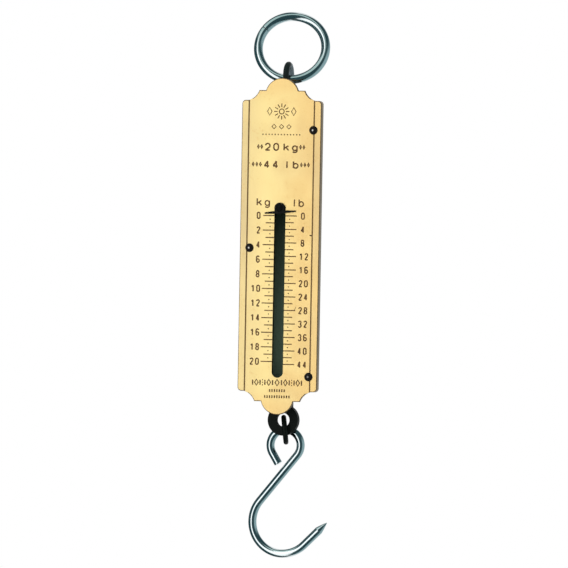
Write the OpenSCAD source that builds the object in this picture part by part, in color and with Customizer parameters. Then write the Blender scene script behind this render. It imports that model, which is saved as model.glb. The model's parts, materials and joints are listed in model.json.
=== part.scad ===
// Pocket spring balance. A face plate riveted to a folded steel back holds an extension
// spring, and the spring pulls up a flat bar that carries the pointer, an eye, a link and a hook.
// Millimetres: X is to the right of the face, Y goes back from it, Z is up.
// The load hangs on the line x = 0, y = 0, and the plate's middle is drawn at z = 0. The finished
// part is then moved so that its origin is the point that it hangs from, inside the ring's top.

/* [Face plate] */
// Width of the face plate
plate_w = 31; // [30:0.5:34]
// Height of the side edges above the zero line
head_h = 43.25; // [41:0.25:50]
// Height from the last kilogram mark down to a side edge as long as above
foot_h = 11.5; // [10.5:0.5:18]
// How much higher the side edges and the ledge really end at the foot
foot_lift = 0.3; // [0:0.05:1]
// Thickness of the face plate
plate_t = 0.9; // [0.6:0.1:1.4]
// Depth of the rims that are folded back along the plate's two sides
rim_depth = 2.8; // [2:0.1:3.4]
// Distance from the face to the line that the load hangs on
face_offset = 8.2; // [8:0.1:9.5]
// Radius of the plate's four outer corners
corner_r = 1.4; // [0.5:0.1:1.8]
// Width of the ledge under each dome
ledge_w = 17.8; // [16:0.2:19]
// Height of the ledge above the side edge
ledge_rise = 3.75; // [3:0.25:4.5]
// Width of the dome at each end
dome_w = 12.6; // [11:0.1:14]
// Height of the dome above its ledge
dome_h = 4.65; // [3.5:0.05:5.5]
// Width of the hollow notch outside the ledge
notch_w = 4; // [3:0.25:4.5]
// Radius of the hollow notch
notch_r = 6.1; // [4.5:0.1:9]
// Width of the slot that the pointer runs in
slot_w = 4.4; // [3.6:0.1:4.5]
// Width of each scored line
score_w = 0.55; // [0.3:0.05:0.7]
// Depth of each scored line
score_depth = 0.25; // [0.15:0.05:0.4]
// Distance from the plate's side edge to the middle of the scored line
score_inset = 2.75; // [2.25:0.25:3.5]

/* [Scale] */
// Last mark of the kilogram scale
kg_max = 20; // [18:2:22]
// Length of scale for one kilogram
kg_pitch = 2.737; // [2.5:0.001:2.9]
// Last mark of the pound scale
lb_max = 44; // [40:4:44]
// Length of scale for one pound
lb_pitch = 1.266; // [1.15:0.001:1.28]
// Width of a mark
mark_w = 0.4; // [0.2:0.05:0.45]
// Depth of a mark
mark_depth = 0.12; // [0.08:0.02:0.2]
// Length of a numbered mark
long_mark = 4.2; // [3.8:0.1:5]
// Length of a mark between two numbers
short_mark = 3.1; // [2.6:0.1:3.6]
// Width across the corners of a dot
dot_w = 0.6; // [0.4:0.05:0.7]
// Distance from the slot's edge to a dot
dot_offset = 1.6; // [1.2:0.1:2.4]

/* [Casing] */
// Thickness of the folded sheet
sheet_t = 0.8; // [0.6:0.1:1]
// Inner width of the channel that holds the spring
channel_w = 12.2; // [12.2:0.1:13]
// Gap between each flange's side edge and the plate's folded rim
flange_inset = 0.2; // [0.1:0.1:0.6]
// Width cut off each flange corner
flange_cut_w = 6.2; // [3:0.1:7]
// Height cut off each flange corner
flange_cut_h = 2.9; // [1.5:0.1:4]
// Distance from the plate's ledge to the end of the casing
casing_inset = 2; // [1.5:0.25:3]

/* [Rivets] */
// Diameter of a rivet's shank
rivet_d = 1.9; // [1.6:0.1:2.2]
// Diameter of a rivet's head
rivet_head_d = 3.3; // [2.5:0.1:3.5]
// Height of a rivet's head
rivet_head_h = 1; // [0.7:0.1:1.2]
// Diameter of a rivet's closed end
rivet_tail_d = 2.8; // [2.5:0.1:3.2]
// Height of a rivet's closed end
rivet_tail_h = 0.7; // [0.5:0.1:1]
// Distance of the top rivet from the plate's right edge
rivet_top_inset = 3; // [2.5:0.1:4]
// Distance of the top rivet below the upper end of the side edge
rivet_top_drop = 11; // [8:0.5:14]
// Distance of the middle rivet from the plate's left edge
rivet_middle_inset = 3.8; // [3:0.1:4.5]
// Height of the middle rivet above the plate's middle
rivet_middle_rise = -0.7; // [-4:0.1:4]
// Distance of the bottom rivet from the plate's right edge
rivet_bottom_inset = 3.3; // [2.8:0.1:4.2]
// Distance of the bottom rivet above the lower end of the side edge
rivet_bottom_rise = 6; // [4:0.5:9]

/* [Suspension] */
// Diameter of the ring at the middle of its wire
ring_d = 25.4; // [22:0.2:30]
// Thickness of the ring's wire
ring_wire = 3.4; // [2.8:0.1:3.7]
// Angle at which the ring leans back
ring_lean = 21; // [0:0.5:45]
// Angle by which the ring stands turned in the eye
ring_turn = 11; // [0:1:15]
// How far the ring hangs to the right of the eye's middle
ring_shift = 0.75; // [0:0.05:1]
// Width of the open joint where the ring's wire meets itself
ring_seam = 0.15; // [0.1:0.05:0.4]
// Place of that joint round the ring, as an angle from its right side
ring_seam_at = 145; // [90:5:180]
// Diameter of the eye at the middle of its wire
eye_d = 8.7; // [8.2:0.1:10]
// Thickness of the eye's wire
eye_wire = 2.2; // [1.8:0.1:2.3]
// Angle by which the eye stands turned from front to back
eye_turn = 3; // [0:0.5:6]
// Length of the neck between the collar and the eye
neck_h = 1; // [0.8:0.05:3]
// Diameter of the neck
neck_d = 3; // [2.5:0.1:3.6]
// Diameter of the collar that rests on the casing
collar_d = 6; // [5:0.1:8]
// Thickness of the collar
collar_t = 1; // [0.8:0.1:1.5]
// Diameter of the eye bolt's shank
shank_d = 4; // [3.8:0.1:4.6]
// Thickness of the flattened tongue that holds the spring
tongue_t = 1.8; // [1.4:0.1:2.2]
// Distance from the plug to the hole in the tongue
tongue_drop = 2.9; // [2.6:0.1:4]

/* [Plugs and pins] */
// Height of the plug and of the guide that close the casing's ends
plug_h = 5; // [4.5:0.1:5.5]
// Diameter of the pins through the plug and the guide
pin_d = 2; // [1.6:0.1:2.2]
// How far a pin stands out of the casing at each side
pin_proud = 0.3; // [0.1:0.1:0.6]
// Distance of the guide's pin in front of the load line
guide_pin_offset = 3.8; // [3.4:0.1:4.4]

/* [Spring] */
// Thickness of the spring's wire
spring_wire = 1.4; // [1.2:0.05:1.5]
// Diameter of the coil at the middle of its wire
coil_d = 10; // [9:0.1:10.2]
// Gap between two turns at rest
coil_gap = 0.42; // [0.42:0.02:0.8]
// Diameter of the spring's end loops at the middle of the wire
loop_d = 6; // [5.6:0.1:6.4]
// Angle that an end loop turns through
loop_angle = 230; // [200:5:240]
// Least height in which the wire bends from the coil into a loop
lead_h = 2.5; // [2:0.1:3.5]
// Diameter of the holes that the spring's loops pass through
loop_hole_d = 2.4; // [2.2:0.1:2.6]
// Distance from a loop's hole to the end of the piece
loop_hole_edge = 2.8; // [2.4:0.1:3.2]

/* [Draw bar] */
// Width of the bar
bar_w = 7.5; // [6.5:0.1:8.5]
// Thickness of the bar
bar_t = 2.5; // [2:0.1:2.8]
// Diameter of the bar's round lower end
disc_d = 11.8; // [11:0.1:12]
// Diameter of the hole for the link
disc_hole_d = 5.3; // [4.7:0.1:5.4]
// Distance of the disc's middle to the right of the bar's
disc_shift = 0.4; // [0:0.1:0.6]
// Distance from the casing's lower end to the middle of that hole
disc_drop = 8.7; // [8.2:0.1:12]
// Distance from the pointer's rivet up to the hole for the spring
bar_hole_rise = 4; // [3.6:0.1:6]
// Travel beyond the last kilogram mark
overrun = 5.4; // [3:0.1:6]

/* [Pointer] */
// Thickness of the pointer
pointer_t = 0.6; // [0.4:0.1:0.8]
// Gap between the pointer and the face
pointer_gap = 0.25; // [0.15:0.05:0.5]
// Diameter of the pointer's tab
tab_d = 4; // [3.6:0.1:4.4]
// Distance from the tab's middle down to the arms
arm_drop = 1.55; // [1:0.05:1.8]
// Length of the left arm
arm_left = 5.75; // [5:0.05:6.5]
// Length of the right arm
arm_right = 6.1; // [5:0.05:6.5]
// Height of the arms in the middle
arm_h = 1.3; // [0.9:0.1:1.5]
// Height of the arms at their tips
arm_tip_h = 0.5; // [0.3:0.05:0.7]
// Angle by which the arms are bent out of level
arm_tilt = 4.3; // [0:0.1:5]
// Height at which the arms rest above the zero line
pointer_rest = 1.35; // [0.5:0.05:2]
// Outer diameter of the spacer that runs in the slot
post_d = 3.4; // [3:0.1:3.5]
// Diameter of the pointer rivet's shank
stem_d = 1.5; // [1.2:0.1:1.8]
// Diameter of the pointer rivet's two heads
stem_head_d = 2.8; // [2.4:0.1:3.2]
// Height of each of those heads
stem_head_h = 0.7; // [0.5:0.1:1]

/* [Link] */
// Diameter of the link at the middle of its wire
link_d = 9.4; // [9.1:0.1:10.5]
// Thickness of the link's wire
link_wire = 1.9; // [1.8:0.1:2.1]
// Angle at which the link hangs to the right
link_tilt = 6.5; // [0:0.5:10]
// Angle by which the link hangs turned from front to back
link_turn = 16; // [0:0.5:16.5]

/* [Hook] */
// Thickness of the hook's wire
hook_wire = 3.1; // [2.8:0.1:3.2]
// Radius of the upper curl at the middle of the wire
curl_r = 5.9; // [5.6:0.05:7]
// Radius of the bowl at the middle of the wire
bowl_r = 11.95; // [10:0.05:14]
// Distance from the curl's middle down to the bowl's middle
bowl_drop = 28.8; // [27:0.1:33]
// Distance of the curl's middle to the right of the load line
curl_shift = 0.5; // [0:0.05:1]
// Distance of the bowl's middle to the left of the load line
bowl_shift = 0.05; // [0:0.05:1]
// Angle at which the curl's short end straightens
curl_end = 211; // [200:1:214]
// Length of the curl's straight short end
curl_tail = 4.7; // [3:0.1:5]
// Angle below level at which the bowl straightens
bowl_end = 45.9; // [30:0.1:60]
// Length of the straight part before the point
beak_len = 8.1; // [5:0.1:12]
// Length of the ground point
point_len = 4.2; // [3:0.1:5]
// Diameter of the blunted tip
tip_d = 0.3; // [0.2:0.05:0.6]

/* [Clearances] */
// Radial clearance of a pin, shank or rivet in its hole
fit_gap = 0.05; // [0.03:0.01:0.1]
// Clearance of the plugs in the channel
plug_gap = 0.1; // [0.05:0.05:0.2]
// Clearance of the bar in its guide
guide_gap = 0.2; // [0.1:0.05:0.3]
// Gap between two pieces that hang in one another
seat_gap = 0.3; // [0.2:0.05:0.4]
// Gap between the hook and the back of the bar
hook_gap = 0.15; // [0.1:0.05:0.3]
// Gap left above the pointer's spacer at rest
rest_gap = 0.2; // [0.1:0.05:0.4]
// Gap left below the pointer's spacer at full travel
stop_gap = 0.5; // [0.2:0.1:1]
// Width of the chamfer on the ends of the pins
chamfer = 0.2; // [0.1:0.05:0.3]

/* [Hidden] */

$fn = 96;
overcut = 1;               // how far a cut runs past the face that it starts from
spring_rings = 8;          // rings of points in one turn of the coil
loop_rings = 16;           // rings of points in one end loop
lead_rings = 5;            // rings of points in the bend between the coil and a loop
gap_step = 1;              // longest step between the points that the spring's gap is measured on
run_reach = 0.05;          // how far a straight run of wire reaches into the bend that it meets
run_relief = 0.01;         // how much thinner than the bend that straight run is
spring_sides = 6;          // sides of the swept wire
lead_angle = 60;           // angle, from the plane of the loops, at which the coil ends

brass = [0.95, 0.84, 0.55];
bright_steel = [0.72, 0.76, 0.77];
black_steel = [0.09, 0.11, 0.10];
dark_steel = [0.2, 0.21, 0.2];
spring_steel = [0.45, 0.46, 0.46];

// Levels of the scale, the plate and the casing
scale_len = kg_max * kg_pitch;
edge_top = (head_h + scale_len + foot_h) / 2;
zero_z = edge_top - head_h;
ledge_top = edge_top + ledge_rise;
casing_top = ledge_top - casing_inset;
plug_bottom = casing_top - plug_h;
pin_z = casing_top - plug_h / 2;

// Planes from front to back, and the flanges' width
face_y = -face_offset;
plate_back_y = face_y + plate_t;
flange_back_y = plate_back_y + sheet_t;
flange_w = plate_w - 2 * (plate_t + flange_inset);
channel_r = channel_w / 2;
casing_r = channel_r + sheet_t;

// Pointer, bar and slot
travel = pointer_rest + scale_len + overrun;
arm_z = zero_z + pointer_rest;
tab_z = arm_z + arm_drop;
bar_hole_z = tab_z + bar_hole_rise;
bar_top = bar_hole_z + loop_hole_edge;
disc_z = -casing_top - disc_drop;
slot_top = tab_z + post_d / 2 + rest_gap;
slot_bottom = tab_z - post_d / 2 - travel - stop_gap;
pointer_back_y = face_y - pointer_gap;
pointer_front_y = pointer_back_y - pointer_t;

// Eye, ring and spring
tongue_hole_z = plug_bottom - tongue_drop;
tongue_end = tongue_hole_z - loop_hole_edge;
collar_top = casing_top + collar_t;
eye_z = collar_top + neck_h + (eye_d + eye_wire) / 2;
ring_seat_z = eye_z - (eye_d - eye_wire) / 2 + seat_gap + ring_wire / 2;
hang_reach = ring_d - ring_wire / 2;
hang_x = ring_shift - hang_reach * sin(ring_lean) * sin(ring_turn);
hang_y = hang_reach * sin(ring_lean) * cos(ring_turn);
hang_z = ring_seat_z + hang_reach * cos(ring_lean);

// Link and hook
link_top_z = disc_z + disc_hole_d / 2 - seat_gap - link_wire / 2 - bar_t / 2 * sin(link_turn);
hook_y = bar_t / 2 + hook_gap + hook_wire / 2;
hook_slant = asin((curl_shift + hook_y * tan(link_turn)) / curl_r);
hook_bow = curl_r * (1 - cos(hook_slant));
link_y = hook_y / cos(link_turn) + hook_bow + hook_wire / 2 / cos(link_turn + hook_slant) + seat_gap
    - (link_d - link_wire) / 2;
hook_top_z = link_top_z - link_d / 2 * cos(link_tilt);
curl_at = [curl_shift, hook_top_z - curl_r];
bowl_at = [-bowl_shift, curl_at.y - bowl_drop];

// The spring's centre line: a lower loop, the coil and an upper loop
coil_pitch = spring_wire + coil_gap;
lead_turns = 2 * lead_angle / 360;
coil_room = tongue_hole_z - bar_hole_z - loop_d - 2 * lead_h;
coil_turns = floor(coil_room / coil_pitch - lead_turns) + lead_turns;
coil_h = coil_turns * coil_pitch;
coil_bottom = (tongue_hole_z + bar_hole_z - coil_h) / 2;

// Where each rivet of the face goes, as x and z
rivet_top_at = [plate_w / 2 - rivet_top_inset, edge_top - rivet_top_drop];
rivet_middle_at = [rivet_middle_inset - plate_w / 2, rivet_middle_rise];
rivet_bottom_at = [plate_w / 2 - rivet_bottom_inset, rivet_bottom_rise - edge_top];
rivets_at = [rivet_top_at, rivet_middle_at, rivet_bottom_at];

// A point of the coil, turned through angle a from the spring's lower loop
function coil_point(a) =
    [coil_d / 2 * cos(a), coil_d / 2 * sin(a), coil_bottom + (a + lead_angle) / 360 * coil_pitch];

// The upper end is drawn once, and turned half round the X axis it is the lower end
function half_turn(points) = [for (i = [len(points) - 1:-1:0])
    [points[i].x, -points[i].y, bar_hole_z + tongue_hole_z - points[i].z]];

function bezier(a, b, c, d, t) =
    pow(1 - t, 3) * a + 3 * t * pow(1 - t, 2) * b + 3 * t * t * (1 - t) * c + pow(t, 3) * d;

function unit(v) = v / norm(v);

last_angle = 360 * coil_turns - lead_angle;
coil_step = 360 / spring_rings;
coil_path = [for (a = coil_step - lead_angle; a < last_angle - coil_step / 4; a = a + coil_step)
    coil_point(a)];
coil_end = coil_point(last_angle);
coil_heading = unit([-sin(last_angle), cos(last_angle), coil_pitch / (PI * coil_d)]);
loop_mid_z = tongue_hole_z - loop_d / 2;
loop_start = [0, loop_d / 2, loop_mid_z];
lead_pull = norm(loop_start - coil_end) / 2;
lead_path = [for (i = [0:lead_rings - 1])
    bezier(coil_end, coil_end + lead_pull * coil_heading,
           loop_start - [0, 0, lead_pull], loop_start, i / lead_rings)];
loop_path = [for (i = [0:loop_rings]) let (a = i * loop_angle / loop_rings)
    [0, loop_d / 2 * cos(a), loop_mid_z + loop_d / 2 * sin(a)]];
upper_end = concat(lead_path, loop_path);
spring_path = concat(half_turn(upper_end), coil_path, upper_end);

// The direction of a path at one of its points
function heading(path, i) = unit(path[min(i + 1, len(path) - 1)] - path[max(i - 1, 0)]);

function square_to(v, along) = unit(v - (v * along) * along);

// One direction for each point, square to the path and turned as little as can be
function carried(path) = [for (
    i = 0, side = square_to([1, 0, 0], heading(path, 0));
    i < len(path);
    side = square_to(side, heading(path, min(i + 1, len(path) - 1))), i = i + 1) side];

// The points between two others, the first included, no more than step apart
function between(a, b, step) = let (n = ceil(norm(b - a) / step))
    [for (k = [0:n - 1]) a + (b - a) * k / n];

// The least gap of a wire to itself, past the stretch where it only bends
function least_gap(path, wire, step) = let (
    fine = [for (i = [0:len(path) - 2]) each between(path[i], path[i + 1], step)],
    apart = ceil(4 * wire / step))
    min([for (i = [0:len(fine) - 1 - apart], j = [i + apart:len(fine) - 1])
        norm(fine[i] - fine[j])]) - wire;

echo(spring_turns = coil_turns, spring_gap = least_gap(spring_path, spring_wire, gap_step));  // spring

module in_frame() translate([-hang_x, -hang_y, -hang_z]) children();

// Stands a flat drawing up between two planes from front to back
module slab(front, back)
    translate([0, back, 0]) rotate([90, 0, 0]) linear_extrude(back - front) children();

module wire_ring(d, wire)
    rotate_extrude() translate([d / 2, 0]) circle(d = wire);

module wire_arc(r, wire, from, to)
    rotate([0, 0, from]) rotate_extrude(angle = to - from) translate([r, 0]) circle(d = wire);

// A straight run between two bends: a hair thinner than they are, and let into both
module wire_run(start, heading, length, wire)
    translate([start.x, start.y, 0]) rotate([0, 0, heading]) translate([-run_reach, 0, 0])
        rotate([0, 90, 0]) cylinder(d = wire - run_relief, h = length + run_reach);

// A round bar from front to back
module cross_bar(d, front, back, at = [0, 0])
    translate([at.x, back, at.y]) rotate([90, 0, 0]) cylinder(d = d, h = back - front);

// A low dome whose flat side is at height 0
module dome(d, h) {
    r = (d * d / 4 + h * h) / (2 * h);
    intersection() {
        translate([0, 0, h - r]) sphere(r = r);
        cylinder(d = d, h = h);
    }
}

// A rivet from front to back: domed head, shank and flat closed end
module rivet(at, d, head_d, head_h, front, back, tail_d, tail_h) {
    translate([at.x, front, at.y]) rotate([90, 0, 0]) dome(head_d, head_h);
    cross_bar(d, front - head_h / 4, back + tail_h / 2, at);
    cross_bar(tail_d, back, back + tail_h, at);
}

module slot_outline(w, top, bottom) {
    translate([-w / 2, bottom + w / 2]) square([w, top - bottom - w]);
    translate([0, top - w / 2]) circle(d = w);
    translate([0, bottom + w / 2]) circle(d = w);
}

// One end of the plate: its half of the side edges, a ledge between hollow notches, and a dome.
// The side edge and the ledge end short by the amount short, and the dome's tip stays.
module plate_end(short) {
    edge_end = edge_top - short;
    ledge_end = ledge_top - short;
    rise = dome_h + short;
    run = [notch_w, -ledge_rise];
    chord = norm(run);
    notch_at = [ledge_w / 2, ledge_end] + run / 2
        + [ledge_rise, notch_w] / chord * sqrt(notch_r * notch_r - chord * chord / 4);
    dome_r = (dome_w * dome_w / 4 + rise * rise) / (2 * rise);
    translate([-plate_w / 2, -overcut]) square([plate_w, edge_end - corner_r + overcut]);
    translate([corner_r - plate_w / 2, 0]) square([plate_w - 2 * corner_r, edge_end]);
    for (x = [-1, 1])
        translate([x * (plate_w / 2 - corner_r), edge_end - corner_r]) circle(r = corner_r);
    difference() {
        translate([-ledge_w / 2 - notch_w, 0]) square([ledge_w + 2 * notch_w, ledge_end]);
        for (side = [-1, 1]) translate([side * notch_at.x, notch_at.y]) circle(r = notch_r);
    }
    intersection() {
        translate([0, ledge_end + rise - dome_r]) circle(r = dome_r);
        translate([-dome_w / 2, 0]) square([dome_w, ledge_end + rise + overcut]);
    }
}

module plate_outline() {
    plate_end(0);
    mirror([0, 1]) plate_end(foot_lift);
}

// Where the rims are folded back: along both side edges and round the corners
module rim_outline() difference() {
    plate_outline();
    translate([plate_t - plate_w / 2, foot_lift + plate_t - edge_top])
        square([plate_w - 2 * plate_t, 2 * (edge_top - plate_t) - foot_lift]);
    square([plate_w - 2 * corner_r, 4 * edge_top], center = true);
}

// One scale on the side that side names: -1 is left and 1 is right. A long mark stands every
// two steps, a short one between, and a dot half way between those.
module scale_marks(side, last, pitch, step) {
    for (i = [0:2 * last / step]) {
        z = zero_z - i * pitch * step / 2;
        size = i % 4 == 0 ? long_mark : short_mark;
        if (i % 2 == 0)
            translate([side * (slot_w + size) / 2, z]) square([size + mark_w, mark_w], center = true);
        else
            translate([side * (slot_w / 2 + dot_offset), z]) rotate(45)
                square(dot_w / sqrt(2), center = true);
    }
}

// The channel's section, seen from above
module channel_outline(r, front) {
    circle(r = r);
    translate([-r, front]) square([2 * r, -front]);
}

// A block that closes the channel's end, with its middle at height 0
module channel_block()
    translate([0, 0, -plug_h / 2]) linear_extrude(plug_h)
        channel_outline(channel_r - plug_gap, plate_back_y + plug_gap);

// A pin from side to side through the casing, with chamfered ends
module side_pin(y, z) {
    half = casing_r + pin_proud;
    translate([-half, y, z]) rotate([0, 90, 0]) {
        cylinder(d1 = pin_d - 2 * chamfer, d2 = pin_d, h = chamfer);
        translate([0, 0, chamfer]) cylinder(d = pin_d, h = 2 * (half - chamfer));
        translate([0, 0, 2 * half - chamfer])
            cylinder(d1 = pin_d, d2 = pin_d - 2 * chamfer, h = chamfer);
    }
}

module side_pin_hole(y, z)
    translate([-casing_r - overcut, y, z]) rotate([0, 90, 0])
        cylinder(d = pin_d + 2 * fit_gap, h = 2 * (casing_r + overcut));

module suspension_ring() color(bright_steel) in_frame()
    translate([ring_shift, 0, ring_seat_z]) rotate([-ring_lean, 0, ring_turn])
        translate([0, 0, ring_d / 2])
        rotate([90, 0, 0]) wire_arc(ring_d / 2, ring_wire, ring_seam_at,
                                    ring_seam_at + 360 * (1 - ring_seam / (PI * ring_d)));

module eye_bolt() color(black_steel) in_frame() difference() {
    union() {
        translate([0, 0, eye_z]) rotate([0, 90, eye_turn]) wire_ring(eye_d, eye_wire);
        translate([0, 0, collar_top]) cylinder(d1 = neck_d, d2 = eye_wire, h = neck_h + eye_wire / 2);
        translate([0, 0, casing_top]) cylinder(d = collar_d, h = collar_t);
        translate([0, 0, plug_bottom]) cylinder(d = shank_d, h = plug_h);
        translate([0, 0, tongue_end]) linear_extrude(plug_bottom - tongue_end) intersection() {
            circle(d = shank_d);
            square([2 * shank_d, tongue_t], center = true);
        }
    }
    cross_bar(loop_hole_d, -shank_d, shank_d, [0, tongue_hole_z]);
    side_pin_hole(0, pin_z);
}

module top_plug() color(dark_steel) in_frame() difference() {
    translate([0, 0, pin_z]) channel_block();
    translate([0, 0, plug_bottom - overcut])
        cylinder(d = shank_d + 2 * fit_gap, h = plug_h + 2 * overcut);
    side_pin_hole(0, pin_z);
}

module plug_pin() color(dark_steel) in_frame() side_pin(0, pin_z);

module back_casing() color(black_steel) in_frame() difference() {
    union() {
        translate([0, 0, -casing_top]) linear_extrude(2 * casing_top)
            channel_outline(casing_r, plate_back_y);
        slab(plate_back_y, flange_back_y) flange_outline();
    }
    translate([0, 0, -casing_top - overcut]) linear_extrude(2 * (casing_top + overcut))
        channel_outline(channel_r, plate_back_y - overcut);
    for (at = rivets_at)
        cross_bar(rivet_d + 2 * fit_gap, plate_back_y - overcut, flange_back_y + overcut, at);
    side_pin_hole(0, pin_z);
    side_pin_hole(-guide_pin_offset, -pin_z);
}

// Both flanges with their cut corners, the lower ones as much higher as the plate's
module flange_outline() {
    side = flange_w / 2;
    low = foot_lift - casing_top;
    polygon([[-side, low + flange_cut_h], [-side, casing_top - flange_cut_h],
             [flange_cut_w - side, casing_top], [side - flange_cut_w, casing_top],
             [side, casing_top - flange_cut_h], [side, low + flange_cut_h],
             [side - flange_cut_w, low], [flange_cut_w - side, low]]);
}

module face_plate() color(brass) in_frame() difference() {
    union() {
        slab(face_y, plate_back_y) difference() {
            plate_outline();
            slot_outline(slot_w, slot_top, slot_bottom);
            for (at = rivets_at) translate(at) circle(d = rivet_d + 2 * fit_gap);
        }
        slab(face_y + plate_t / 2, face_y + rim_depth) rim_outline();
    }
    slab(face_y - overcut, face_y + score_depth)
        for (side = [-1, 1]) translate([side * (plate_w / 2 - score_inset), 0])
            square([score_w, 2 * (edge_top + overcut)], center = true);
    slab(face_y - overcut, face_y + mark_depth) {
        scale_marks(-1, kg_max, kg_pitch, 1);
        scale_marks(1, lb_max, lb_pitch, 2);
    }
}

module face_rivet(at) color(dark_steel) in_frame()
    rivet(at, rivet_d, rivet_head_d, rivet_head_h, face_y, flange_back_y, rivet_tail_d, rivet_tail_h);

module bottom_guide() color(dark_steel) in_frame() difference() {
    translate([0, 0, -pin_z]) channel_block();
    translate([0, 0, -pin_z])
        cube([bar_w + 2 * guide_gap, bar_t + 2 * guide_gap, plug_h + overcut], center = true);
    side_pin_hole(-guide_pin_offset, -pin_z);
}

module guide_pin() color(dark_steel) in_frame() side_pin(-guide_pin_offset, -pin_z);

module draw_bar() color(black_steel) in_frame() slab(-bar_t / 2, bar_t / 2) difference() {
    union() {
        translate([-bar_w / 2, disc_z]) square([bar_w, bar_top - disc_z]);
        translate([disc_shift, disc_z]) circle(d = disc_d);
    }
    translate([disc_shift, disc_z]) circle(d = disc_hole_d);
    translate([0, bar_hole_z]) circle(d = loop_hole_d);
    translate([0, tab_z]) circle(d = stem_d + 2 * fit_gap);
}

module pointer() color(black_steel) in_frame() slab(pointer_front_y, pointer_back_y) difference() {
    union() {
        translate([0, tab_z]) circle(d = tab_d);
        translate([0, arm_z]) rotate(arm_tilt)
            polygon([[-arm_left, -arm_tip_h / 2], [0, -arm_h / 2], [arm_right, -arm_tip_h / 2],
                     [arm_right, arm_tip_h / 2], [0, arm_h / 2], [-arm_left, arm_tip_h / 2]]);
    }
    translate([0, tab_z]) circle(d = stem_d + 2 * fit_gap);
}

module pointer_spacer() color(dark_steel) in_frame() slab(pointer_back_y, -bar_t / 2)
    translate([0, tab_z]) difference() {
        circle(d = post_d);
        circle(d = stem_d + 2 * fit_gap);
    }

module pointer_rivet() color(black_steel) in_frame()
    rivet([0, tab_z], stem_d, stem_head_d, stem_head_h, pointer_front_y, bar_t / 2,
          stem_head_d, stem_head_h);

module connecting_link() color(black_steel) in_frame()
    translate([disc_shift, 0, link_top_z]) rotate([0, -link_tilt, 0]) rotate([0, 0, link_turn])
        translate([0, link_y, -link_d / 2]) rotate([0, 90, 0]) wire_ring(link_d, link_wire);

module load_hook() color(bright_steel) in_frame() translate([0, hook_y, 0]) rotate([90, 0, 0]) {
    across = bowl_at - curl_at;
    leave = atan2(across.y, across.x) + acos((curl_r + bowl_r) / norm(across));
    shank_len = sqrt(pow(norm(across), 2) - pow(curl_r + bowl_r, 2));
    beak = 360 - bowl_end;
    translate(curl_at) wire_arc(curl_r, hook_wire, leave, curl_end);
    wire_run(curl_at + curl_r * [cos(curl_end), sin(curl_end)], curl_end + 90, curl_tail, hook_wire);
    wire_run(curl_at + curl_r * [cos(leave), sin(leave)], leave - 90, shank_len + run_reach, hook_wire);
    translate(bowl_at) wire_arc(bowl_r, hook_wire, leave + 180, beak);
    translate(bowl_at + bowl_r * [cos(beak), sin(beak)]) rotate([0, 0, beak + 90]) {
        wire_run([0, 0], 0, beak_len, hook_wire);
        translate([beak_len, 0, 0]) rotate([0, 90, 0])
            cylinder(d1 = hook_wire - run_relief, d2 = tip_d, h = point_len);
    }
}

// A wire swept along a path, as one closed skin of triangles
module swept_wire(path, wire) {
    n = spring_sides;
    side = carried(path);
    last = (len(path) - 1) * n;
    points = [for (i = [0:len(path) - 1], k = [0:n - 1])
        path[i] + wire / 2 * (cos(k * 360 / n) * side[i]
                              + sin(k * 360 / n) * cross(heading(path, i), side[i]))];
    skin = [for (i = [0:n:last - n], k = [0:n - 1]) let (next = (k + 1) % n)
        each [[i + k, i + n + k, i + n + next], [i + k, i + n + next, i + next]]];
    start_cap = [for (k = [1:n - 2]) [0, k, k + 1]];
    end_cap = [for (k = [1:n - 2]) [last, last + k + 1, last + k]];
    polyhedron(points, concat(skin, start_cap, end_cap), convexity = 10);
}

module spring() color(spring_steel) in_frame() swept_wire(spring_path, spring_wire);

suspension_ring();
eye_bolt();
top_plug();
plug_pin();
back_casing();
face_plate();
face_rivet(rivet_top_at);  // face_rivet_top
face_rivet(rivet_middle_at);  // face_rivet_middle
face_rivet(rivet_bottom_at);  // face_rivet_bottom
bottom_guide();
guide_pin();
spring();
draw_bar();
pointer();
pointer_spacer();
pointer_rivet();
connecting_link();
load_hook();
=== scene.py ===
import json
import math

import bpy
from mathutils import Matrix, Vector
from mathutils.kdtree import KDTree

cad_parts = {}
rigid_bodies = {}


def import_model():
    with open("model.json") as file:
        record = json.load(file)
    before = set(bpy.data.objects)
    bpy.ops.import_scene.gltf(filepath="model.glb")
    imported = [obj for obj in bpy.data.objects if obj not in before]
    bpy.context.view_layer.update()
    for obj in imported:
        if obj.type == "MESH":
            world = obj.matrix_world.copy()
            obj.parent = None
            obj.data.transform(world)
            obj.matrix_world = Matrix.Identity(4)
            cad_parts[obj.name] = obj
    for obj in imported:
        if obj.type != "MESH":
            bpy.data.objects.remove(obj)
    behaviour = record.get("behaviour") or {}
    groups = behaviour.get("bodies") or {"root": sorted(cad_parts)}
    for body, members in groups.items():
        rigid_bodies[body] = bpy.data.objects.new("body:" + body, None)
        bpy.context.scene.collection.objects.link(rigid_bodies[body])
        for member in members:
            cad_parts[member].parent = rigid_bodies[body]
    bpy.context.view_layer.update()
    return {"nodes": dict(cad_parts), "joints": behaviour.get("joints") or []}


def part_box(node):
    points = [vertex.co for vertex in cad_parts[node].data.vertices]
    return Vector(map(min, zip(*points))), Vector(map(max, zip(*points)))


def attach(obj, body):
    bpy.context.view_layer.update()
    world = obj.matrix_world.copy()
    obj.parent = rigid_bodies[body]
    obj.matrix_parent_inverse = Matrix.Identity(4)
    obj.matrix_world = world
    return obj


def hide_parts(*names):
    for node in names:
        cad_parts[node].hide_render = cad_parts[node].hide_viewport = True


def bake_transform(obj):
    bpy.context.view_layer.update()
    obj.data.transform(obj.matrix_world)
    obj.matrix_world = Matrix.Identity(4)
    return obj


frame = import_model()
nodes = frame["nodes"]
mm = 0.001
weld = 0.001 * mm  # points nearer to each other than this become one

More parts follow.
